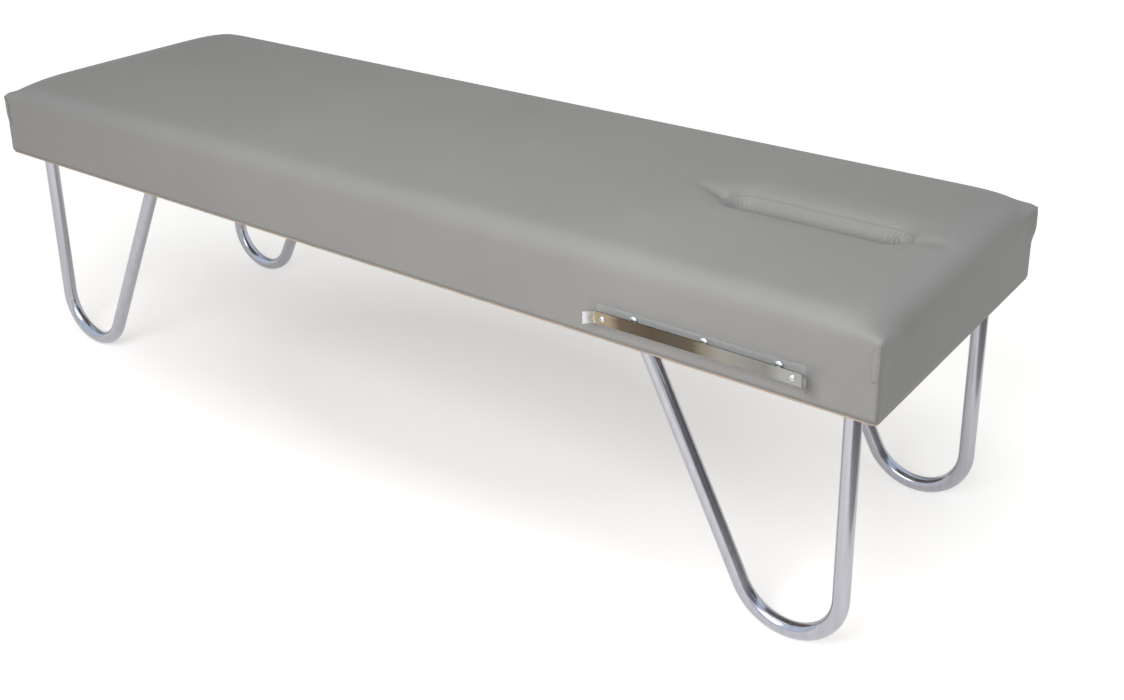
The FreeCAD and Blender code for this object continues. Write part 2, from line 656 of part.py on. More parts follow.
# Leg bolts and the tee nuts that they screw into
bolt = number("Sizes.bolt_diameter") / 2
bolt_head = number("Sizes.bolt_head_diameter") / 2
head_height = number("Sizes.bolt_head_height")
hexagon = Part.Face(Part.makePolygon(
    [Vector(bolt_head * math.cos(math.radians(60 * i)), bolt_head * math.sin(math.radians(60 * i)), 0)
     for i in range(7)]))
hex_head = hexagon.extrude(Vector(0, 0, -head_height))
nut_top = bolt_reach + number("Sizes.nut_flange_thickness")
shank = Part.makeCylinder(bolt, nut_top + number("Sizes.bolt_tail"))
finish(feature("leg_bolts", repeated(hex_head.fuse(shank).removeSplitter(), bolt_spots)), "leg_bolts")
flange = number("Sizes.nut_flange_diameter") / 2
barrel = number("Sizes.nut_barrel_diameter") / 2
nut_low = bolt_reach - number("Sizes.nut_barrel_length")
tee_nut = turned([(bolt_hole, nut_low), (barrel, nut_low), (barrel, bolt_reach), (flange, bolt_reach),
                  (flange, nut_top), (bolt_hole, nut_top)])
finish(feature("leg_tee_nuts", repeated(tee_nut, bolt_spots)), "leg_tee_nuts")

# Frame, deck and panel screws
frame_screw = flush_screw(frame_length)
screws = Part.makeCompound([repeated(frame_screw, frame_spots[-1], INTO),
                            repeated(frame_screw, frame_spots[1], OUT)])
finish(feature("frame_screws", Part.makeCompound(screws.Solids)), "frame_screws")
finish(feature("deck_screws", repeated(flush_screw(deck_length), deck_spots, DOWN)), "deck_screws")
panel_screw = domed_screw(number("Sizes.screw_head_diameter"), number("Sizes.screw_head_height"),
                          panel_length)
finish(feature("panel_screws", repeated(panel_screw, panel_spots)), "panel_screws")

# Clear backing plate of the paper strip and its three dome screws
body = doc.addObject("PartDesign::Body", "paper_plate")
outline = sketch_on(body, "paper_plate_outline", "XY_Plane")
centred_rectangle(outline, "Sizes.plate_length", "Sizes.plate_height")
PLATE_MIDDLE = "(Sizes.plate_lift + Sizes.plate_height / 2)"
SCREW_RISE = "(Sizes.plate_screw_lift - %s)" % PLATE_MIDDLE
for step in (-1, 0, 1):
    reach = "Sizes.plate_screw_shift + %d * Sizes.plate_screw_pitch" % step
    sign = 1 if step >= 0 else -1
    circle(outline, sign, reach if sign > 0 else "-(%s)" % reach, 1, SCREW_RISE,
           "Sizes.screw_diameter / 2 + Sizes.fit_clearance")
STRIP_FALL = "(%s - Sizes.strip_lift - Sizes.strip_height / 2)" % PLATE_MIDDLE
fall = number(STRIP_FALL)
fall_sign = (fall > 0.001) - (fall < -0.001)
for step in (-1, 1):
    circle(outline, step, "Sizes.strip_screw_half_pitch", -fall_sign,
           STRIP_FALL if fall_sign > 0 else "-" + STRIP_FALL,
           "Sizes.screw_diameter / 2 + Sizes.fit_clearance")
pad = pad_plate(body, outline, "Sizes.plate_thickness", "paper_plate_sheet")
round_upright_edges(body, pad, "Sizes.plate_corner_radius", "paper_plate_corners")
body.Placement = Placement(Vector(0, 0, 0), Rotation(Vector(1, 0, 0), 90))
body.setExpression("Placement.Base.x", PLATE_CENTRE)
body.setExpression("Placement.Base.y", FRONT)
body.setExpression("Placement.Base.z", "Sizes.underside_height + " + PLATE_MIDDLE)
finish(body, "paper_plate")
plate_screw = domed_screw(number("Sizes.plate_screw_head"), number("Sizes.plate_screw_dome"), plate_reach)
finish(feature("paper_plate_screws", repeated(plate_screw, plate_spots, INTO)), "paper_plate_screws")


# Paper strip: a bowed spring strip whose ends are bent outwards
def strip_side(offset):
    """One face line of the strip in plan, from the left tab's tip to the right one's."""
    half = number("Sizes.strip_half_length")
    bow = number("Sizes.strip_bow")
    standoff = number("Sizes.strip_standoff")
    bow_radius = (half ** 2 + bow ** 2) / (2 * bow)
    bend_radius = number("Sizes.strip_bend_radius")
    tab = number("Sizes.strip_tab_length")
    flare = math.radians(number("Sizes.strip_tab_angle"))
    lead = math.asin(half / bow_radius)
    hub = bow_radius + standoff - bow
    bend_u = half - bend_radius * math.sin(lead)
    bend_d = hub - (bow_radius - bend_radius) * math.cos(lead)

    def on_bend(angle):
        reach = bend_radius - offset
        return bend_u + reach * math.sin(angle), bend_d - reach * math.cos(angle)

    def on_bow(angle):
        reach = bow_radius - offset
        return reach * math.sin(angle), hub - reach * math.cos(angle)

    heel = on_bend(flare)
    tip = heel[0] + tab * math.cos(flare), heel[1] + tab * math.sin(flare)
    right = [on_bow(lead), on_bend((lead + flare) / 2), heel, tip]

    def spot(pair, side=1):
        return Vector(number(PLATE_CENTRE) + side * pair[0], number(FRONT) - pair[1],
                      number("Sizes.underside_height + Sizes.strip_lift"))

    edges = [Part.Arc(spot(right[0], -1), spot(on_bow(0)), spot(right[0])).toShape()]
    for side in (-1, 1):
        edges.append(Part.Arc(*[spot(pair, side) for pair in right[:3]]).toShape())
        edges.append(Part.makeLine(spot(right[2], side), spot(right[3], side)))
    return edges, spot(tip, -1), spot(tip)


back_edges, back_left, back_right = strip_side(0)
front_edges, front_left, front_right = strip_side(number("Sizes.strip_thickness"))
ends = [Part.makeLine(back_left, front_left), Part.makeLine(back_right, front_right)]
strip_face = Part.Face(Part.Wire(Part.__sortEdges__(back_edges + front_edges + ends)))
strip_blank = extrude("strip_blank", feature("strip_outline", strip_face), UP, "Sizes.strip_height")
finish(cut("paper_strip", strip_blank, feature("strip_holes", strip_holes)), "paper_strip")

# Spacers that hold the strip off the plate, and the strip's screws
spacer = number("Sizes.spacer_diameter") / 2
strip_back = number("Sizes.strip_thickness") + clearance
plate_face = number(STRIP_BACK + " + Sizes.strip_thickness - Sizes.plate_thickness")
collar = turned([(screw_hole, strip_back), (spacer, strip_back), (spacer, plate_face),
                 (screw_hole, plate_face)])
for step, label in ((0, "foot_side_spacer"), (1, "head_side_spacer")):
    piece = repeated(collar, strip_spots[step:step + 1], INTO)
    finish(feature(label, piece.Solids[0]), label)
strip_screw = domed_screw(number("Sizes.strip_screw_head"), number("Sizes.screw_head_height"),
                          strip_reach)
finish(feature("paper_strip_screws", repeated(strip_screw, strip_spots, INTO)), "paper_strip_screws")

# Check and export
doc.recompute()
for item in doc.Objects:
    if "Invalid" in item.State or "Error" in item.State:
        raise RuntimeError("failed: " + item.Label + " " + str(item.State))
os.makedirs("parts", exist_ok=True)
for item in finished:
    if item.Shape.isNull() or not item.Shape.isValid() or not item.Shape.Solids:
        raise RuntimeError("no sound solid: " + item.Label)
    item.Shape.exportStep("parts/%s.step" % item.Label)
    print(item.Label, len(item.Shape.Solids), round(item.Shape.Volume / 1000, 2), item.Shape.BoundBox)
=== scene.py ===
import math

import bmesh
import bpy
import numpy as np
from mathutils import Matrix, Vector
from mathutils.bvhtree import BVHTree


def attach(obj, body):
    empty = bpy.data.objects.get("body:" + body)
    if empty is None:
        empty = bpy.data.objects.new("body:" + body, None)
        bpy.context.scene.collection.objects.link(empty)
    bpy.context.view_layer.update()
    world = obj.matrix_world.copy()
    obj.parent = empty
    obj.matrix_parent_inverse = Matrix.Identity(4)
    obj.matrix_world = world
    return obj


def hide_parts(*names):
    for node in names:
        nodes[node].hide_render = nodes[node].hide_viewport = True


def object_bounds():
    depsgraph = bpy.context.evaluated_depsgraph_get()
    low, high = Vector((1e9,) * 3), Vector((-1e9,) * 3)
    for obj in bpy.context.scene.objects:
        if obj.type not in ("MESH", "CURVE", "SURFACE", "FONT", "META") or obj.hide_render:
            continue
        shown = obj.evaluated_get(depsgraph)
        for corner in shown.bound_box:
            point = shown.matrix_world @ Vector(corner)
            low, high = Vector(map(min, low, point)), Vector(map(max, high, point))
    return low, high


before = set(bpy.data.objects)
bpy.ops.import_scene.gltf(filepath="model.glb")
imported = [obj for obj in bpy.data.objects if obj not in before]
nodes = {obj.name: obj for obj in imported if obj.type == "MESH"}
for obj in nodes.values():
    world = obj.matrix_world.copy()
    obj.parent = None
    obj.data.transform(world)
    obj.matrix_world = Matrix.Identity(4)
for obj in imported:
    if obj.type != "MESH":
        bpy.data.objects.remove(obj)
cad_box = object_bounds()

# Timber box under the pad: planed softwood rails and braces, screwed at the corners.
# It is closed in by the cover and the underside panel, so only its inner faces could be
# seen, through the face slot.
MM = 0.001


def set_inputs(node, values):
    """Set a node's input sockets by name."""
    for key, value in values.items():
        node.inputs[key].default_value = value


def add_node(tree, kind, settings=None, **inputs):
    """Node with its properties and input values set."""
    node = tree.nodes.new(kind)
    for key, value in (settings or {}).items():
        setattr(node, key, value)
    set_inputs(node, {key.replace("_", " "): value for key, value in inputs.items()})
    return node


def feed(tree, socket, value):
    """Give an input a fixed value, or a link from another node."""
    if isinstance(value, bpy.types.NodeSocket):
        tree.links.new(value, socket)
    else:
        socket.default_value = value


def worked_out(tree, operation, *values, clamp=False):
    """Result of a maths node on values that are fixed or come from other nodes."""
    node = add_node(tree, "ShaderNodeMath", {"operation": operation, "use_clamp": clamp})
    for socket, value in zip(node.inputs, values):
        feed(tree, socket, value)
    return node.outputs[0]


def vector_worked_out(tree, operation, *values):
    """Result of a maths node on vectors: a vector, or a number for a length."""
    node = add_node(tree, "ShaderNodeVectorMath", {"operation": operation})
    for socket, value in zip(node.inputs, values):
        feed(tree, socket, value)
    return node.outputs["Value" if operation == "LENGTH" else "Vector"]


def finish_material(name):
    """New material: its node tree, its shader and its place on the object."""
    material = bpy.data.materials.new(name)
    material.use_nodes = True
    tree = material.node_tree
    place = add_node(tree, "ShaderNodeTexCoord").outputs["Object"]
    return material, tree, tree.nodes["Principled BSDF"], place


def shader_group(name, inputs, outputs):
    """Node group with float or vector sockets: its tree and its two end nodes."""
    tree = bpy.data.node_groups.new(name, "ShaderNodeTree")
    for socket, kind, value in inputs:
        made = tree.interface.new_socket(name=socket, in_out="INPUT", socket_type=kind)
        if value is not None:
            made.default_value = value
    for socket, kind in outputs:
        tree.interface.new_socket(name=socket, in_out="OUTPUT", socket_type=kind)
    return tree, tree.nodes.new("NodeGroupInput"), tree.nodes.new("NodeGroupOutput")


def use_group(tree, group, place, **inputs):
    """Group placed in a material, fed with the place on the object."""
    node = add_node(tree, "ShaderNodeGroup", {"node_tree": group}, **inputs)
    tree.links.new(place, node.inputs["Place"])
    return node


def colour_bands(tree, value, bands):
    """Colour ramp with a colour at each of several places."""
    ramp = add_node(tree, "ShaderNodeValToRGB")
    stops = ramp.color_ramp.elements
    while len(stops) < len(bands):
        stops.new(0.5)
    for stop, (spot, tone) in zip(stops, bands):
        stop.position = spot
        stop.color = (*tone, 1)
    tree.links.new(value, ramp.inputs["Fac"])
    return ramp.outputs["Color"]


def tint(tree, value, low, high, low_at, high_at):
    """Colour that goes from one tone to another as a value rises."""
    return colour_bands(tree, value, ((low_at, low), (high_at, high)))


def spread(tree, value, low, high, from_low=0.0, from_high=1.0):
    """Value moved to another range."""
    node = add_node(tree, "ShaderNodeMapRange", None, From_Min=from_low, From_Max=from_high,
                    To_Min=low, To_Max=high)
    tree.links.new(value, node.inputs["Value"])
    return node.outputs["Result"]


def dress(tree, shader, colour, roughness, height, strength, depth):
    """Give a shader its colour, its roughness, and bump from a height."""
    tree.links.new(colour, shader.inputs["Base Color"])
    tree.links.new(roughness, shader.inputs["Roughness"])
    bump = add_node(tree, "ShaderNodeBump", None, Strength=strength, Distance=depth)
    tree.links.new(height, bump.inputs["Height"])
    tree.links.new(bump.outputs["Normal"], shader.inputs["Normal"])


def marked_finish(name, group, marks, tones, roughness, bump, tones_at=(0.3, 0.7), metallic=0.0):
    """Finish from one group: its tone from the first mark, its roughness and bump from the second."""
    material, tree, shader, place = finish_material(name)
    first, second = use_group(tree, group, place, **marks).outputs
    dress(tree, shader, tint(tree, first, *tones, *tones_at), spread(tree, second, *roughness), second, *bump)
    set_inputs(shader, {"Metallic": metallic})
    return material


# Fibres drawn out along one direction: wood grain, brushing and drawn metal
fibre_group, ends_in, ends_out = shader_group(
    "drawn_fibres",
    [("Place", "NodeSocketVector", None), ("Stretch", "NodeSocketVector", (1, 1, 1)),
     ("Scale", "NodeSocketFloat", 10), ("Waver", "NodeSocketFloat", 0.2)],
    [("Coarse", "NodeSocketFloat"), ("Fine", "NodeSocketFloat")])
stretched = vector_worked_out(fibre_group, "MULTIPLY", ends_in.outputs["Place"], ends_in.outputs["Stretch"])
for socket, factor, detail in (("Coarse", 1, 3), ("Fine", 6, 6)):
    scaled = worked_out(fibre_group, "MULTIPLY", ends_in.outputs["Scale"], factor)
    noise = add_node(fibre_group, "ShaderNodeTexNoise", None, Detail=detail, Roughness=0.6)
    fibre_group.links.new(stretched, noise.inputs["Vector"])
    fibre_group.links.new(scaled, noise.inputs["Scale"])
    fibre_group.links.new(ends_in.outputs["Waver"], noise.inputs["Distortion"])
    fibre_group.links.new(noise.outputs["Fac"], ends_out.inputs[socket])


def planed_softwood(name, dark, pale, stretch):
    """Planed wood: darker fibres drawn along the piece, a dull planed face."""
    marks = {"Stretch": stretch, "Scale": 9, "Waver": 0.6}
    return marked_finish(name, fibre_group, marks, (dark, pale), (0.5, 0.75), (0.3, 0.4 * MM), (0.3, 0.62))


def give_finish(names, material):
    """Put a finish on CAD pieces that keep their shape."""
    for name in names:
        for slot in nodes[name].material_slots:
            slot.material = material


rail_wood = planed_softwood("rail_softwood", (0.44, 0.27, 0.13), (0.62, 0.44, 0.26), (1, 14, 14))
brace_wood = planed_softwood("brace_softwood", (0.43, 0.27, 0.14), (0.60, 0.43, 0.26), (14, 1, 14))
give_finish(["near_side_rail", "far_side_rail"], rail_wood)
give_finish(["head_end_rail", "foot_end_rail", "head_brace", "middle_brace", "foot_brace"], brace_wood)

# Leg boards and deck: plywood, its plies showing as thin bands on the cut edges.
# The boards are glued into the corners of the box and the deck is screwed down on the rails.
PLY_THICKNESS, PLY_SHADE = 3 * MM, 0.35


def split_vector(tree, vector):
    """The three numbers of a vector."""
    node = add_node(tree, "ShaderNodeSeparateXYZ")
    tree.links.new(vector, node.inputs[0])
    return node.outputs


ply_wood, tree, shader, place = finish_material("birch_ply")
fibres = use_group(tree, fibre_group, place, Stretch=(1, 10, 1), Scale=12, Waver=0.8).outputs
plies = worked_out(tree, "PINGPONG", split_vector(tree, place)["Z"], PLY_THICKNESS)
bands = spread(tree, plies, 0, PLY_SHADE, 0, PLY_THICKNESS)
ply_tone = worked_out(tree, "SUBTRACT", fibres["Coarse"], bands, clamp=True)
dress(tree, shader, tint(tree, ply_tone, (0.42, 0.28, 0.15), (0.70, 0.54, 0.36), 0.1, 0.6),
      spread(tree, fibres["Fine"], 0.5, 0.8), fibres["Fine"], 0.25, 0.3 * MM)
corners = ["%s_%s" % (end, side) for end in ("head", "foot") for side in ("near", "far")]
give_finish(["deck_board"] + [corner + "_leg_board" for corner in corners], ply_wood)

# Underside panel: 3 mm hardboard, brown and slightly hairy, its raw tan edge showing as a
# thin line below the cover. Screwed up into the rails.
mottle_group, ends_in, ends_out = shader_group(
    "mottle",
    [("Place", "NodeSocketVector", None), ("Scale", "NodeSocketFloat", 5), ("Detail", "NodeSocketFloat", 4)],
    [("Cloud", "NodeSocketFloat"), ("Grain", "NodeSocketFloat")])
for socket, factor in (("Cloud", 1), ("Grain", 60)):
    scaled = worked_out(mottle_group, "MULTIPLY", ends_in.outputs["Scale"], factor)
    noise = add_node(mottle_group, "ShaderNodeTexNoise", None, Roughness=0.55)
    mottle_group.links.new(ends_in.outputs["Place"], noise.inputs["Vector"])
    mottle_group.links.new(scaled, noise.inputs["Scale"])
    mottle_group.links.new(ends_in.outputs["Detail"], noise.inputs["Detail"])
    mottle_group.links.new(noise.outputs["Fac"], ends_out.inputs[socket])
hardboard, tree, shader, place = finish_material("tan_hardboard")
mottle = use_group(tree, mottle_group, place, Scale=18, Detail=6).outputs
board_tone = worked_out(tree, "ADD", mottle["Cloud"], mottle["Grain"])
dress(tree, shader, tint(tree, board_tone, (0.33, 0.26, 0.20), (0.48, 0.39, 0.31), 0.7, 1.0),
      spread(tree, mottle["Grain"], 0.55, 0.8), mottle["Grain"], 0.35, 0.3 * MM)
give_finish(["underside_panel"], hardboard)

# Padded top: foam on the deck under one sheet of smooth grey upholstery vinyl, drawn over
# the sides, lined down through the face slot and turned under the rails.
# The skin is one grid: crown, shoulders and nose first, then rows down the sides.
HALF_LENGTH, HALF_WIDTH = round(cad_box[1][0] / MM, 1), round(cad_box[1][1] / MM, 1)
CROWN_FULLNESS, CROWN_RISE, END_RISE, END_LIFT = 10.0, 4.0, 0.5, 1.0
CROWN_TOP = round(cad_box[1][2] / MM) + CROWN_FULLNESS
NOSE_LEVEL, SIDE_BOTTOM = 518.0, 413.0
SHOULDER_RUN, END_SHOULDER_RUN = 108.0, 96.0
NOSE_RADIUS = 34.5
SIDE_EASE, END_EASE, END_RUN_ON = 26, 44, 30
TIP_FALL, TIP_RADIUS, TIP_BEND, TIP_TURN = 22.0, 12.0, 1.35, math.radians(66)
HIP, CORNER_SPREAD = 3.6, 75.0
SKIN = 1.5


def along_outline(u, z):
    """Distance along an outline at each of its points."""
    return np.append(0, np.cumsum(np.hypot(np.diff(u), np.diff(z))))


def pad_profile(half, top, rise, run, ease, run_on):
    """Half outline of the pad from the middle of the crown to the foot of the nose, its arcs eased."""
    nose_u = half - NOSE_RADIUS
    inner_u, inner_z = half - SKIN - run, top - rise
    crown_radius = (inner_u ** 2 + rise ** 2) / (2 * rise)
    down_u, down_z = -inner_u / crown_radius, (top - crown_radius - inner_z) / crown_radius
    from_u, from_z = inner_u - nose_u, inner_z - NOSE_LEVEL
    gap = from_u ** 2 + from_z ** 2 - NOSE_RADIUS ** 2
    radius = -gap / (2 * (from_u * down_u + from_z * down_z + NOSE_RADIUS))
    centre_u, centre_z = inner_u + radius * down_u, inner_z + radius * down_z
    meet = math.atan2(NOSE_LEVEL - centre_z, nose_u - centre_u)
    last = math.atan2(inner_z - centre_z, inner_u - centre_u)
    u = np.linspace(0, inner_u, 60)
    z = top - crown_radius + np.sqrt(crown_radius ** 2 - u ** 2)
    turn = np.linspace(last, meet, 80)[1:]
    u = np.append(u, centre_u + radius * np.cos(turn))
    z = np.append(z, centre_z + radius * np.sin(turn))
    turn = np.linspace(meet, 0, 50)[1:]
    u = np.append(u, nose_u + NOSE_RADIUS * np.cos(turn))
    z = np.append(z, NOSE_LEVEL + NOSE_RADIUS * np.sin(turn))
    # Taken at every millimetre, run on straight past both ends, then smoothed
    along = along_outline(u, z)
    steps = np.arange(-ease, along[-1] + run_on + ease + 0.5)
    out = np.interp(steps, along, u) + np.minimum(steps, 0)
    down = np.interp(steps, along, z) - np.maximum(steps - along[-1], 0)
    weights = np.hanning(2 * ease + 1) / ease
    u, z = np.convolve(out, weights, "valid"), np.convolve(down, weights, "valid")
    return along_outline(u, z), u, top - z


def corner_profile(half, rise, run):
    """Outline near a corner, where the sheet is drawn straight down to a tight edge."""
    inner_u, tip_u = half - SKIN - run, half - TIP_RADIUS
    share = np.linspace(0, 1, 60)
    turn = np.linspace(TIP_TURN, 0, 30)
    u = np.append(inner_u + (tip_u - inner_u) * share, tip_u + TIP_RADIUS * np.cos(turn))
    fall = np.append(rise + (TIP_FALL - rise) * share ** TIP_BEND, TIP_FALL + TIP_RADIUS * (1 - np.sin(turn)))
    along = along_outline(u, fall)
    return along / along[-1], u, fall


def edge_place(profile, corner, run_half, line, weight):
    """Reach and fall of a grid line, between the plain outline and the one near a corner."""
    along = np.abs(line)
    reach = np.interp(along, profile[0], profile[1])
    fall = np.interp(along, profile[0], profile[2])
    start = np.interp(run_half, profile[1], profile[0])
    share = np.clip((along - start) / (profile[0][-1] - start), 0, 1)
    blend = np.where(along > start, weight, 0)
    reach = reach + blend * (np.interp(share, corner[0], corner[1]) - reach)
    fall = fall + blend * (np.interp(share, corner[0], corner[2]) - fall)
    return np.sign(line) * reach, fall


def hipped(fall_x, fall_y):
    """Fall where the slopes of the ends and of the sides meet in soft hips."""
    return (np.maximum(fall_x - END_LIFT, 0) ** HIP + fall_y ** HIP) ** (1 / HIP)


def grid_lines(stops):
    """Line positions through stretches of given step."""
    lines = [stops[0][0]]
    for start, stop, step in stops:
        count = max(1, round((stop - start) / step))
        lines += list(np.linspace(start, stop, count + 1)[1:])
    return np.array(lines)


across = pad_profile(HALF_WIDTH, CROWN_TOP, CROWN_RISE, SHOULDER_RUN, SIDE_EASE, 0)
lengthways = pad_profile(HALF_LENGTH, CROWN_TOP + END_LIFT, END_RISE, END_SHOULDER_RUN, END_EASE, END_RUN_ON)
across_corner = corner_profile(HALF_WIDTH, CROWN_RISE, SHOULDER_RUN)
lengthways_corner = corner_profile(HALF_LENGTH, END_RISE + END_LIFT, END_SHOULDER_RUN)

# Grid over the top, closer at the edges and round the slot
end_x, end_y = lengthways[0][-1], across[0][-1]
lines_x = grid_lines([(-end_x, -end_x + 150, 5), (-end_x + 150, 480, 14), (480, 520, 8), (520, 600, 2.2),
                      (600, 810, 4), (810, 890, 2.2), (890, end_x, 4)])
lines_y = grid_lines([(-end_y, -end_y + 90, 4), (-end_y + 90, -100, 8), (-100, -70, 4), (-70, 70, 2.2),
                      (70, 100, 4), (100, end_y - 90, 8), (end_y - 90, end_y, 4)])
grid_x, grid_y = np.meshgrid(lines_x, lines_y, indexing="ij")
near_end = np.exp(-((end_x - np.abs(grid_x)) / CORNER_SPREAD) ** 2)
near_side = np.exp(-((end_y - np.abs(grid_y)) / CORNER_SPREAD) ** 2)
pos_x, fall_x = edge_place(lengthways, lengthways_corner, HALF_LENGTH - SKIN - END_SHOULDER_RUN,
                           grid_x, near_side)
pos_y, fall_y = edge_place(across, across_corner, HALF_WIDTH - SKIN - SHOULDER_RUN, grid_y, near_end)
pos_z = CROWN_TOP - hipped(fall_x, fall_y)

# Rolled lip of the face slot: points near the slot are drawn in and down to the seam with
# the lining, and the sheet's edge is tucked away behind it
SLOT_MIDDLE, SLOT_LENGTH, SLOT_WIDTH, SLOT_BOTTOM = 705.0, 296.0, 64.0, 471.0
SLOT_RADIUS = SLOT_WIDTH / 2
SLOT_REACH = SLOT_LENGTH / 2 - SLOT_RADIUS
LIP_OUTER, LIP_WIDE, LIP_DEEP = 88.0, 56.0, 24.0
SEAM_TURN = math.radians(70)
SEAM_RADIUS = LIP_OUTER - LIP_WIDE * math.sin(SEAM_TURN)
SEAM_FALL = LIP_DEEP * (1 - math.cos(SEAM_TURN))
TUCK_IN, TUCK_DOWN = np.array([2.0, 4.0]), np.array([3.2, 11.0])
FLAT_HOLE = 20.0
TINY = 1e-6


def smooth(low, high, value):
    """Soft step from 0 to 1 between two values."""
    t = np.clip((value - low) / (high - low), 0, 1)
    return t * t * (3 - 2 * t)


def drop_at(profile, reach):
    """How far the profile has fallen at a distance from the middle."""
    return np.interp(np.abs(reach), profile[1], profile[2])


axis_x = np.clip(pos_x, SLOT_MIDDLE - SLOT_REACH, SLOT_MIDDLE + SLOT_REACH)
away_x, away_y = pos_x - axis_x, pos_y
away = np.hypot(away_x, away_y)
lip_turn = np.linspace(0, SEAM_TURN, 40)
lip_r = np.append(LIP_OUTER - LIP_WIDE * np.sin(lip_turn), SEAM_RADIUS - TUCK_IN)
lip_fall = np.append(LIP_DEEP * (1 - np.cos(lip_turn)), SEAM_FALL + TUCK_DOWN)
lip_along = along_outline(lip_r, lip_fall)
reach_in = LIP_OUTER - FLAT_HOLE
pull = (lip_along[-1] - reach_in) / reach_in ** 2
depth_in = np.clip(LIP_OUTER - away, 0, None)
travel = np.minimum(depth_in + pull * depth_in ** 2, lip_along[-1])
inside = away < LIP_OUTER
new_r = np.where(inside, np.interp(travel, lip_along, lip_r), away)
slot_fall = np.where(inside, np.interp(travel, lip_along, lip_fall), 0)
safe = np.maximum(away, TINY)
pos_x = np.where(inside, axis_x + away_x / safe * new_r, pos_x)
pos_y = np.where(inside, away_y / safe * new_r, pos_y)
base_fall = hipped(drop_at(lengthways, pos_x), drop_at(across, pos_y))
on_wall = smooth(0, SEAM_FALL, slot_fall)
pos_z = np.where(inside, CROWN_TOP - base_fall * (1 - on_wall) - slot_fall, pos_z)

# Soft hollows that run on past both ends of the slot
HOLLOW_DEPTH, HOLLOW_WIDTH, HOLLOW_START, HOLLOW_FADE = 7.5, 15.0, 12.0, (8.0, 82.0)
past = np.maximum(np.abs(pos_x - SLOT_MIDDLE) - SLOT_LENGTH / 2, 0)
hollow = HOLLOW_DEPTH * np.exp(-(pos_y / HOLLOW_WIDTH) ** 2) * (1 - smooth(*HOLLOW_FADE, past))
pos_z = pos_z - hollow * smooth(0, HOLLOW_START, past)

# Rows down the sides from the edge of the grid, then the hem turned under the rails
SIDE_ROWS, HEM_LIFT, HEM_WIDTH = 15, 0.3, 18.0
count_x, count_y = grid_x.shape
number = np.arange(count_x * count_y).reshape(count_x, count_y)
ring = np.concatenate([number[:-1, 0], number[-1, :-1], number[:0:-1, -1], number[0, :0:-1]])
points = np.stack([pos_x.ravel(), pos_y.ravel(), pos_z.ravel()], 1)
quads = np.stack([number[:-1, :-1], number[1:, :-1], number[1:, 1:], number[:-1, 1:]], -1).reshape(-1, 4)
slot_void = travel.ravel() >= lip_along[-1] - TINY
quads = quads[~slot_void[quads].all(1)]
top_ring = points[ring]
rows, side_quads = [points], []
last_row, total = ring, len(points)
for row in range(1, SIDE_ROWS + 2):
    share = min(row / SIDE_ROWS, 1)
    level = top_ring[:, 2] + (SIDE_BOTTOM + HEM_LIFT - top_ring[:, 2]) * share
    inset = 0 if row <= SIDE_ROWS else HEM_WIDTH
    rows.append(np.stack([np.clip(top_ring[:, 0], inset - HALF_LENGTH, HALF_LENGTH - inset),
                          np.clip(top_ring[:, 1], inset - HALF_WIDTH, HALF_WIDTH - inset), level], 1))
    index = total + np.arange(len(ring))
    side_quads.append(np.stack([last_row, index, np.roll(index, -1), np.roll(last_row, -1)], 1))
    last_row, total = index, total + len(ring)
points = np.concatenate(rows)
quads = np.concatenate([quads] + side_quads)

# Corners: rounded in plan, puffed into a small ear under the top, the largest at the far head corner
CORNER_RADIUS = 7.0
EAR_OUT, FAR_HEAD_EAR, EAR_SHARE, EAR_SPREAD = 2.5, 6.0, 0.7, 26.0
EAR_START, EAR_FADE = (468.0, 496.0), (521.0, 539.0)
half_plan = np.array([HALF_LENGTH, HALF_WIDTH])
plan = points[:, :2]
over = np.abs(plan) - (half_plan - CORNER_RADIUS)
in_corner = (over > 0).all(1)
scale = over.max(1) / np.maximum(np.hypot(*over.T), TINY)
rounded = np.sign(plan) * (half_plan - CORNER_RADIUS + over * scale[:, None])
plan = np.where(in_corner[:, None], rounded, plan)
close = np.exp(-(np.hypot(*(half_plan - np.abs(plan)).T) / EAR_SPREAD) ** 2)
ear = np.where((plan > 0).all(1), FAR_HEAD_EAR, EAR_OUT)
puff = ear * smooth(*EAR_START, points[:, 2]) * (1 - smooth(*EAR_FADE, points[:, 2]))
points[:, :2] = plan + np.sign(plan) * (close * puff)[:, None] * EAR_SHARE


def add_piece(name, mesh, material):
    """Object in the scene for a mesh, with one finish."""
    piece = bpy.data.objects.new(name, mesh)
    bpy.context.scene.collection.objects.link(piece)
    mesh.materials.append(material)
    return piece


def mesh_piece(name, points, faces, material):
    """Smooth mesh object in metres from points in millimetres."""
    mesh = bpy.data.meshes.new(name)
    mesh.from_pydata((points * MM).tolist(), [], faces.tolist())
    mesh.update()
    mesh.polygons.foreach_set("use_smooth", [True] * len(mesh.polygons))
    return add_piece(name, mesh, material)


def mixed_colour(tree, factor, first, second):
    """Colour between two, each fixed or from another node."""
    node = add_node(tree, "ShaderNodeMix", {"data_type": "RGBA"})
    for key, value in (("Factor", factor), ("A", first), ("B", second)):
        feed(tree, node.inputs[key], value)
    return node.outputs["Result"]


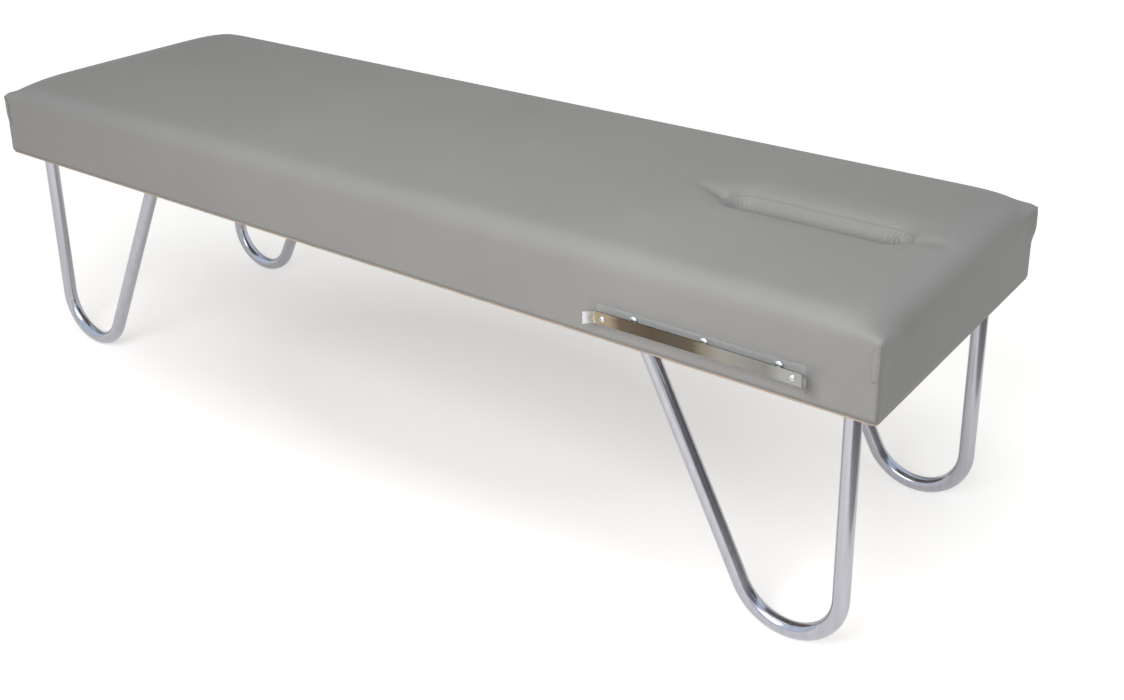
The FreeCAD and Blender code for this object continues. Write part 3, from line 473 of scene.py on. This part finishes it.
# Vinyl: a smooth grey, a little uneven, with a fine grain and a few dark specks
SPECK_TONE = (0.12, 0.115, 0.105, 1)
vinyl, tree, shader, place = finish_material("grey_vinyl")
mottle = use_group(tree, mottle_group, place, Scale=3.2, Detail=3).outputs
vinyl_tone = tint(tree, mottle["Cloud"], (0.285, 0.278, 0.264), (0.315, 0.308, 0.294), 0.3, 0.7)
specks = add_node(tree, "ShaderNodeTexVoronoi", {"feature": "F1"}, Scale=22.0, Randomness=1.0)
tree.links.new(place, specks.inputs["Vector"])
speck_size = spread(tree, specks.outputs["Distance"], 1, 0, 0.012, 0.03)
speck_pick = add_node(tree, "ShaderNodeSeparateColor")
tree.links.new(specks.outputs["Color"], speck_pick.inputs[0])
speck_some = spread(tree, speck_pick.outputs[0], 0, 1, 0.9, 0.93)
speck = worked_out(tree, "MULTIPLY", speck_size, speck_some, clamp=True)
grain = add_node(tree, "ShaderNodeTexNoise", None, Scale=700.0, Detail=3.0, Roughness=0.5)
tree.links.new(place, grain.inputs["Vector"])
dress(tree, shader, mixed_colour(tree, speck, vinyl_tone, SPECK_TONE),
      spread(tree, mottle["Cloud"], 0.46, 0.56), grain.outputs["Fac"], 0.12, 0.15 * MM)
set_inputs(shader, {"Specular IOR Level": 0.4})

# Darts at the four corners: the sheet's spare cloth folded flat towards the long side and
# sewn down, and below it one plain fold to the hem
DART_TOP, DART_TURN, DART_BOTTOM = 530.0, 514.0, 471.0
DART_WIDTH, DART_ROUND, DART_ROWS = 11.0, 1.5, 30
FOLD_WIDTH, FOLD_ROUND, FOLD_ROWS, FOLD_LIFT = 2.6, 1.0, 20, 1.0
TUCKED = -0.3
DART_SHARES = (0.16, 0.02, 0, 0.05, 0.15, 0.35, 0.6, 0.85, 1)
DART_HEIGHTS = (TUCKED, 0.5, 1.3, 2.0, 2.1, 1.7, 1.1, 0.5, TUCKED)
FOLD_SHARES = (0.4, 0.05, 0, 0.2, 0.5, 0.8, 1)
FOLD_HEIGHTS = (TUCKED, 0.4, 1.0, 1.5, 1.1, 0.5, TUCKED)
skin = BVHTree.FromPolygons(points.tolist(), quads.tolist())


def on_skin(sign_x, sign_y, round_corner, level, lift):
    """Place on the skin by a corner; round_corner runs from the long side to the end."""
    spot_x = sign_x * (HALF_LENGTH + min(round_corner, 0))
    spot_y = sign_y * (HALF_WIDTH - max(round_corner, 0))
    found, normal, _, _ = skin.find_nearest(Vector((spot_x, spot_y, level)))
    return found + normal * lift


def fold(sign_x, sign_y, levels, left, right, shares, heights):
    """Strip of cloth laid on the skin by a corner, its rim tucked in."""
    grid = []
    for row, level in enumerate(levels):
        rim = row in (0, len(levels) - 1)
        reach = left(level)
        for share, height in zip(shares, heights):
            lift = TUCKED if rim else height
            grid.append(on_skin(sign_x, sign_y, reach + share * (right - reach), level, lift))
    number = np.arange(len(levels) * len(shares)).reshape(len(levels), len(shares))
    faces = np.stack([number[:-1, :-1], number[:-1, 1:], number[1:, 1:], number[1:, :-1]], -1).reshape(-1, 4)
    return np.array(grid), faces if sign_x * sign_y < 0 else faces[:, ::-1]


def dart_edge(level):
    """Folded edge of a dart, hooked over to the corner at its top."""
    return -DART_WIDTH * (1 - smooth(DART_TURN, DART_TOP, level))


def fold_edge(level):
    """Edge of the plain fold, the same at each level."""
    return -FOLD_WIDTH


parts = [(points, quads)]
signs = [(sign_x, sign_y) for sign_x in (1, -1) for sign_y in (1, -1)]
dart_levels = np.linspace(DART_BOTTOM, DART_TOP, DART_ROWS)
fold_levels = np.linspace(SIDE_BOTTOM + FOLD_LIFT, DART_BOTTOM + FOLD_LIFT, FOLD_ROWS)
for sign_x, sign_y in signs:
    parts.append(fold(sign_x, sign_y, dart_levels, dart_edge, DART_ROUND, DART_SHARES, DART_HEIGHTS))
    parts.append(fold(sign_x, sign_y, fold_levels, fold_edge, FOLD_ROUND, FOLD_SHARES, FOLD_HEIGHTS))

# Lining of the slot: a strip sewn to the lip, tacked to the deck and puffed by the foam behind
# it. Cloth is simulated for it: it bulges along the sides and gathers into pleats at the ends.
LINING_STEP, LINING_ROWS = 2.0, 34
LINING_BULGE, BULGE_HIGH, LINING_TAPER, LINING_CLEAR = 16.0, 0.8, 2.0, 0.3
LOOSE_REACH = 20.0
PLEAT_PITCH, PLEAT_SLANT, PLEAT_SEED, FOOT_SEED = 8.0, 1.2, 1.2, 0.5
HEAD_PLEATS, FOOT_PLEATS, RIDGE_POWER, RIDGE_BASE = 9.5, 2.2, 4, 0.35
CLOTH_FRAMES, CLOTH_REACH = 7, 10.0
runs, turns = round(2 * SLOT_REACH / LINING_STEP), round(math.pi * SLOT_RADIUS / LINING_STEP)
straight = np.linspace(-SLOT_REACH, SLOT_REACH, runs + 1)[:-1]
swing = np.linspace(math.pi / 2, -math.pi / 2, turns + 1)[:-1]
middle = np.concatenate([straight, np.full(turns, SLOT_REACH), -straight, np.full(turns, -SLOT_REACH)])
angle = np.concatenate([np.full(runs, math.pi / 2), swing, np.full(runs, -math.pi / 2), swing - math.pi])
share = np.linspace(0, 1, LINING_ROWS + 1)
free = np.sin(math.pi * share) ** 0.5
loose = np.clip(1 - (SLOT_REACH - np.abs(middle)) / LOOSE_REACH, 0, 1)
pleats = LINING_STEP * np.arange(len(angle))[:, None] / PLEAT_PITCH + PLEAT_SLANT * share
seeded = PLEAT_SEED * loose * np.where(middle > 0, 1.0, FOOT_SEED)
bulge = LINING_BULGE * np.sin(math.pi * share ** BULGE_HIGH)
radius = SEAM_RADIUS + LINING_CLEAR - LINING_TAPER * share - bulge
radius = radius + np.cos(2 * math.pi * pleats) * seeded[:, None] * free
seam_level = CROWN_TOP - SEAM_FALL
level = np.broadcast_to(seam_level + (SLOT_BOTTOM - seam_level) * share, radius.shape)
lining = np.stack([SLOT_MIDDLE + middle[:, None] + np.cos(angle)[:, None] * radius,
                   np.sin(angle)[:, None] * radius, level], -1).reshape(-1, 3)
number = np.arange(len(lining)).reshape(radius.shape)
after = np.roll(number, -1, 0)
lining_quads = np.stack([number[:, 1:], after[:, 1:], after[:, :-1], number[:, :-1]], -1).reshape(-1, 4)


def puffed(points, faces, held, loose):
    """Cloth held along its edges and puffed by pressure, with more cloth where it is loose."""
    piece = mesh_piece("cloth_trial", points, faces, vinyl)
    piece.vertex_groups.new(name="held").add(held, 1.0, "REPLACE")
    spare = piece.vertex_groups.new(name="loose")
    for index, weight in enumerate(loose):
        spare.add([index], float(weight), "REPLACE")
    cloth = piece.modifiers.new("cloth", "CLOTH")
    cloth.collision_settings.use_collision = False
    values = cloth.settings
    values.quality = 8
    values.mass = 0.001
    values.air_damping = 2
    values.tension_stiffness = values.compression_stiffness = 8
    values.shear_stiffness = 3
    values.bending_stiffness = 0.03
    values.vertex_group_mass = "held"
    values.use_pressure = True
    values.uniform_pressure_force = 45
    values.vertex_group_shrink = "loose"
    values.shrink_min, values.shrink_max = 0.0, -0.24
    values.effector_weights.gravity = 0
    cloth.point_cache.frame_start, cloth.point_cache.frame_end = 1, CLOTH_FRAMES
    for frame_number in range(1, CLOTH_FRAMES + 1):
        bpy.context.scene.frame_set(frame_number)
    shown = piece.evaluated_get(bpy.context.evaluated_depsgraph_get())
    places = np.empty(len(points) * 3)
    shown.data.vertices.foreach_get("co", places)
    moved = places.reshape(-1, 3) / MM - points
    bpy.data.objects.remove(piece)
    bpy.context.scene.frame_set(1)
    length = np.linalg.norm(moved, axis=1, keepdims=True)
    return points + moved * np.minimum(1, CLOTH_REACH / np.maximum(length, TINY))


edges = number[:, 0].tolist() + number[:, -1].tolist()
lining = puffed(lining, lining_quads, edges, np.repeat(loose, LINING_ROWS + 1))
# The pleats, pressed to sharper ridges
ridge = np.abs(np.cos(math.pi * pleats)) ** RIDGE_POWER
pleat_depth = loose * np.where(middle > 0, HEAD_PLEATS, FOOT_PLEATS)
pressed = (ridge - RIDGE_BASE) * pleat_depth[:, None] * free
inward = np.stack([-np.cos(angle), -np.sin(angle), np.zeros(len(angle))], 1)
lining = lining + (inward[:, None] * pressed[..., None]).reshape(-1, 3)
parts.append((lining, lining_quads))

# The whole cover, as one sheet with a thickness
SHEET_THICKNESS = 1.2 * MM
starts = np.cumsum([0] + [len(part[0]) for part in parts])
points = np.concatenate([part[0] for part in parts])
quads = np.concatenate([part[1] + start for part, start in zip(parts, starts)])
cover = mesh_piece("vinyl_top", points, quads, vinyl)
thicken = cover.modifiers.new("skin", "SOLIDIFY")
thicken.thickness = SHEET_THICKNESS
thicken.offset = -1
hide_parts("vinyl_cover", "foam_pad")
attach(cover, "root")

# Stitches: one row of thread down each corner that sews the dart's fold to the sheet below.
# The thread is grey, a little darker than the vinyl.
STITCH_PITCH, STITCH_LENGTH, STITCH_RADIUS = 4.2, 2.8, 0.7
STITCH_ROUND, STITCH_LIFT = -0.8, 0.6
STITCH_FROM, STITCH_TO = DART_BOTTOM + 4, DART_TURN + 8
thread = marked_finish("grey_thread", fibre_group, {"Stretch": (1, 1, 1), "Scale": 900, "Waver": 0.4},
                       ((0.15, 0.145, 0.14), (0.24, 0.235, 0.225)), (0.55, 0.8), (0.3, 0.05 * MM))
sewn = bmesh.new()
for sign_x, sign_y in signs:
    for level in np.arange(STITCH_FROM, STITCH_TO, STITCH_PITCH):
        low = on_skin(sign_x, sign_y, STITCH_ROUND, level, STITCH_LIFT)
        high = on_skin(sign_x, sign_y, STITCH_ROUND, level + STITCH_LENGTH, STITCH_LIFT)
        turned = (high - low).to_track_quat("Z", "X").to_matrix().to_4x4()
        size = Matrix.Diagonal((STITCH_RADIUS, STITCH_RADIUS, STITCH_LENGTH / 2, 1))
        bmesh.ops.create_uvsphere(sewn, u_segments=6, v_segments=5, radius=MM,
                                  matrix=Matrix.Translation((low + high) / 2 * MM) @ turned @ size)
stitch_mesh = bpy.data.meshes.new("dart_stitches")
sewn.to_mesh(stitch_mesh)
sewn.free()
stitches = add_piece("dart_stitches", stitch_mesh, thread)
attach(stitches, "root")

# Legs: 25 mm steel tube bent to a hairpin and chrome plated, welded to a flat strap.
# The plating is bright in the bends and drawn to fine streaks along the straight runs.
chrome = marked_finish("chrome_tube", fibre_group, {"Stretch": (9, 9, 0.5), "Scale": 14, "Waver": 0.1},
                       ((0.375, 0.375, 0.405), (0.43, 0.43, 0.465)), (0.12, 0.24), (0.05, 0.05 * MM),
                       metallic=1.0)
give_finish([corner + "_leg" for corner in corners], chrome)

# Leg straps: flat steel bar under the panel, one to each leg, bolted up into the leg board.
# They are plated like the legs but duller.
strap_steel = marked_finish("strap_steel", fibre_group, {"Stretch": (1, 12, 12), "Scale": 20, "Waver": 0.2},
                            ((0.36, 0.36, 0.37), (0.48, 0.48, 0.49)), (0.28, 0.45), (0.1, 0.05 * MM),
                            metallic=1.0)
give_finish([corner + "_leg_strap" for corner in corners], strap_steel)

# Bolts, tee nuts and screws that hold the straps, the box, the deck and the panel: zinc-plated
# steel, slightly cloudy. The two spacers behind the paper strip are plated the same way.
zinc = marked_finish("zinc_plate", mottle_group, {"Scale": 60, "Detail": 4},
                     ((0.46, 0.46, 0.45), (0.62, 0.62, 0.60)), (0.25, 0.45), (0.1, 0.03 * MM), metallic=1.0)
give_finish(["leg_bolts", "leg_tee_nuts", "frame_screws", "deck_screws", "panel_screws",
             "foot_side_spacer", "head_side_spacer"], zinc)

# Backing plate of the paper strip: clear sheet on the near side, held by three domed screws.
# These screws, and the two that hold the strip, are bright steel with a soft polish.
clear_plate, tree, shader, place = finish_material("clear_plate")
mottle = use_group(tree, mottle_group, place, Scale=40, Detail=3).outputs
dress(tree, shader, tint(tree, mottle["Cloud"], (0.88, 0.95, 0.95), (0.94, 1.0, 1.0), 0.3, 0.7),
      spread(tree, mottle["Grain"], 0.03, 0.1), mottle["Cloud"], 0.015, 0.05 * MM)
set_inputs(shader, {"Alpha": 0.10, "IOR": 1.49})
give_finish(["paper_plate"], clear_plate)
bright = marked_finish("bright_screws", mottle_group, {"Scale": 90, "Detail": 4},
                       ((0.55, 0.57, 0.57), (0.66, 0.68, 0.68)), (0.34, 0.48), (0.06, 0.02 * MM),
                       metallic=1.0)
give_finish(["paper_plate_screws", "paper_strip_screws"], bright)

# Paper strip: polished spring steel, bowed in at the middle, its ends flared out so that paper
# slides in behind it. One screw and spacer near each end. Its colour is painted reflection: brown
# and dark bands along it, with painted highlights on both flared ends.
STRIP_START, STRIP_END, PAINTED_REFLECTION_WAVER = 0.510, 0.870, 0.02
STRIP_PAINTED_REFLECTION = ((0.00, (0.80, 0.81, 0.84)), (0.037, (0.27, 0.22, 0.15)), (0.10, (0.26, 0.21, 0.15)),
           (0.147, (0.10, 0.078, 0.055)), (0.312, (0.075, 0.058, 0.042)), (0.477, (0.09, 0.072, 0.052)),
           (0.523, (0.18, 0.157, 0.117)), (0.605, (0.24, 0.23, 0.205)), (0.80, (0.18, 0.174, 0.157)),
           (0.86, (0.28, 0.275, 0.255)), (0.945, (0.28, 0.275, 0.255)), (0.962, (0.66, 0.66, 0.65)))
# Painted reflection and highlights: the colour bands along the strip stand in for what the polished steel
# mirrors, and the pale ends for light on the flared tabs.
strip_metal, tree, shader, place = finish_material("polished_strip")
streaks = use_group(tree, fibre_group, place, Stretch=(1, 20, 20), Scale=16, Waver=0.1).outputs
uneven = worked_out(tree, "MULTIPLY_ADD", streaks["Coarse"], PAINTED_REFLECTION_WAVER, split_vector(tree, place)["X"])
dress(tree, shader, colour_bands(tree, spread(tree, uneven, 0, 1, STRIP_START, STRIP_END), STRIP_PAINTED_REFLECTION),
      spread(tree, streaks["Fine"], 0.10, 0.22), streaks["Fine"], 0.08, 0.05 * MM)
set_inputs(shader, {"Metallic": 1.0})
give_finish(["paper_strip"], strip_metal)

# Floor: a pale studio floor, white to the camera and in reflections away from the bench,
# and a little duller under it: painted shade, its glow lowered there so that the bench's soft shadow stays.
FLOOR_REACH = 30.0
SHADE_MIDDLE, SHADE_REACH = (-0.03, 0.05, 0.0), (1.3, 0.68, 1.0)
FLOOR_GLOW = ((0.35, 0.33), (0.95, 0.64), (3.0, 0.75))


def shown_rays(tree):
    """1 for rays that show the background: seen straight on, in a mirror or through glass."""
    path = add_node(tree, "ShaderNodeLightPath").outputs
    straight_or_mirrored = worked_out(tree, "MAXIMUM", path["Is Camera Ray"], path["Is Glossy Ray"])
    return worked_out(tree, "MAXIMUM", straight_or_mirrored, path["Is Transmission Ray"])


def flat_piece(name, outline, material):
    """Flat four-cornered piece, its corners in metres."""
    mesh = bpy.data.meshes.new(name)
    mesh.from_pydata(outline, [], [(0, 1, 2, 3)])
    return add_piece(name, mesh, material)


floor_white, tree, shader, place = finish_material("studio_floor")
set_inputs(shader, {"Base Color": (0.8, 0.79, 0.78, 1), "Roughness": 0.9, "Specular IOR Level": 0.1})
# Painted shade: the glow is lowest round a middle under the bench and rises outwards from it.
off_middle = vector_worked_out(tree, "SUBTRACT", place, SHADE_MIDDLE)
distance = vector_worked_out(tree, "LENGTH", vector_worked_out(tree, "DIVIDE", off_middle, SHADE_REACH))
far = FLOOR_GLOW[-1][0]
glow_bands = [(spot / far, (glow, glow, glow)) for spot, glow in FLOOR_GLOW]
glow = colour_bands(tree, spread(tree, distance, 0, 1, 0, far), glow_bands)
tree.links.new(worked_out(tree, "MULTIPLY", glow, shown_rays(tree)), shader.inputs["Emission Strength"])
set_inputs(shader, {"Emission Color": (1, 1, 1, 1)})
floor_outline = [(-FLOOR_REACH, -FLOOR_REACH, 0), (FLOOR_REACH, -FLOOR_REACH, 0),
                 (FLOOR_REACH, FLOOR_REACH, 0), (-FLOOR_REACH, FLOOR_REACH, 0)]
floor = flat_piece("studio_floor", floor_outline, floor_white)

# Flag: a standing card beside the head end, pale at its foot and mid grey above. It is there
# for reflections alone, and puts a grey streak on the bright tubes.
FLAG_FROM, FLAG_TO, FLAG_HEIGHT = (1.12, -0.75), (1.38, 0.75), 0.5
FLAG_PALE, FLAG_GREY = (0.95, 0.95, 0.97), (0.45, 0.45, 0.47)
FLAG_PALE_TO, FLAG_GREY_FROM = 0.08, 0.26
flag_card, tree, shader, place = finish_material("dark_flag")
set_inputs(shader, {"Roughness": 0.9, "Specular IOR Level": 0.0})
flag_tone = tint(tree, split_vector(tree, place)["Z"], FLAG_PALE, FLAG_GREY, FLAG_PALE_TO, FLAG_GREY_FROM)
tree.links.new(flag_tone, shader.inputs["Base Color"])
flag = flat_piece("dark_flag", [(*FLAG_FROM, 0), (*FLAG_TO, 0), (*FLAG_TO, FLAG_HEIGHT),
                                (*FLAG_FROM, FLAG_HEIGHT)], flag_card)
flag.visible_camera = flag.visible_diffuse = flag.visible_shadow = flag.visible_transmission = False

# Light: a dim soft room, brighter at the head end, one large lamp in front, a fill at the head
# end and a strip above. To the camera and in mirrors the room is white at the horizon, with
# pale windows higher up, and a dull ceiling to the back left.
world = bpy.data.worlds.new("studio_room")
world.use_nodes = True
tree = world.node_tree
facing = split_vector(tree, add_node(tree, "ShaderNodeTexCoord").outputs["Generated"])
to_head = spread(tree, facing["X"], 0, 1, -1, 1)
soft_room = colour_bands(tree, to_head, ((0.1, (0.275, 0.27, 0.247)), (0.9, (0.415, 0.415, 0.41))))
ceiling = colour_bands(tree, facing["Z"], (
    (0.0, (1, 1, 1)), (0.12, (1, 1, 1)), (0.3, (0.44, 0.44, 0.435)), (1.0, (0.42, 0.425, 0.42))))
windows = colour_bands(tree, facing["Z"], (
    (0.0, (1, 1, 1)), (0.12, (1, 1, 1)), (0.25, (0.95, 1.1, 1.28)), (1.0, (0.90, 1.04, 1.24))))
to_back_left = worked_out(tree, "SUBTRACT", facing["Y"], facing["X"])
shown_room = mixed_colour(tree, spread(tree, to_back_left, 0, 1, 0.8, 1.1), windows, ceiling)
room_colour = mixed_colour(tree, shown_rays(tree), soft_room, shown_room)
tree.links.new(room_colour, tree.nodes["Background"].inputs["Color"])
bpy.context.scene.world = world


def soft_lamp(name, spot, aim, size, power, colour):
    """Soft lamp, so long and so wide, aimed at a point."""
    lamp = bpy.data.lights.new(name, "AREA")
    lamp.shape = "RECTANGLE"
    lamp.size, lamp.size_y = size
    lamp.energy = power
    lamp.color = colour
    holder = bpy.data.objects.new(name, lamp)
    holder.location = spot
    holder.rotation_euler = (Vector(aim) - Vector(spot)).to_track_quat("-Z", "Y").to_euler()
    bpy.context.scene.collection.objects.link(holder)
    holder.visible_camera = False


soft_lamp("key_softbox", (0.7, -2.1, 1.95), (0.2, 0, 0.45), (1.6, 1.6), 46, (0.975, 0.985, 1.03))
soft_lamp("right_fill", (2.2, -0.4, 0.95), (0.94, 0, 0.48), (0.8, 0.8), 2.6, (0.88, 0.97, 1.0))
soft_lamp("overhead_strip", (0.35, -0.4, 1.9), (0.35, -0.4, 0), (1.0, 0.5), 3.7, (1.0, 0.98, 0.95))

# Camera at the photograph's viewing angle: it looks down on the near head corner, with a
# small shift that keeps the uprights nearly parallel.
CAMERA_SPOT = (1.5397, -1.7411, 1.3136)
AZIMUTH, PITCH, ROLL = math.radians(36.766), math.radians(19.876), math.radians(-0.715)
LENS, SENSOR_WIDTH, SHIFT = 44.239, 36, -0.16
camera_data = bpy.data.cameras.new("camera")
camera_data.lens = LENS
camera_data.sensor_width = SENSOR_WIDTH
camera_data.shift_y = SHIFT
camera = bpy.data.objects.new("camera", camera_data)
tilt = Matrix.Rotation(math.pi / 2 - PITCH, 4, "X") @ Matrix.Rotation(ROLL, 4, "Z")
camera.matrix_world = Matrix.Translation(CAMERA_SPOT) @ Matrix.Rotation(AZIMUTH, 4, "Z") @ tilt
bpy.context.scene.collection.objects.link(camera)
bpy.context.scene.camera = camera
bpy.context.scene.view_settings.view_transform = "Standard"
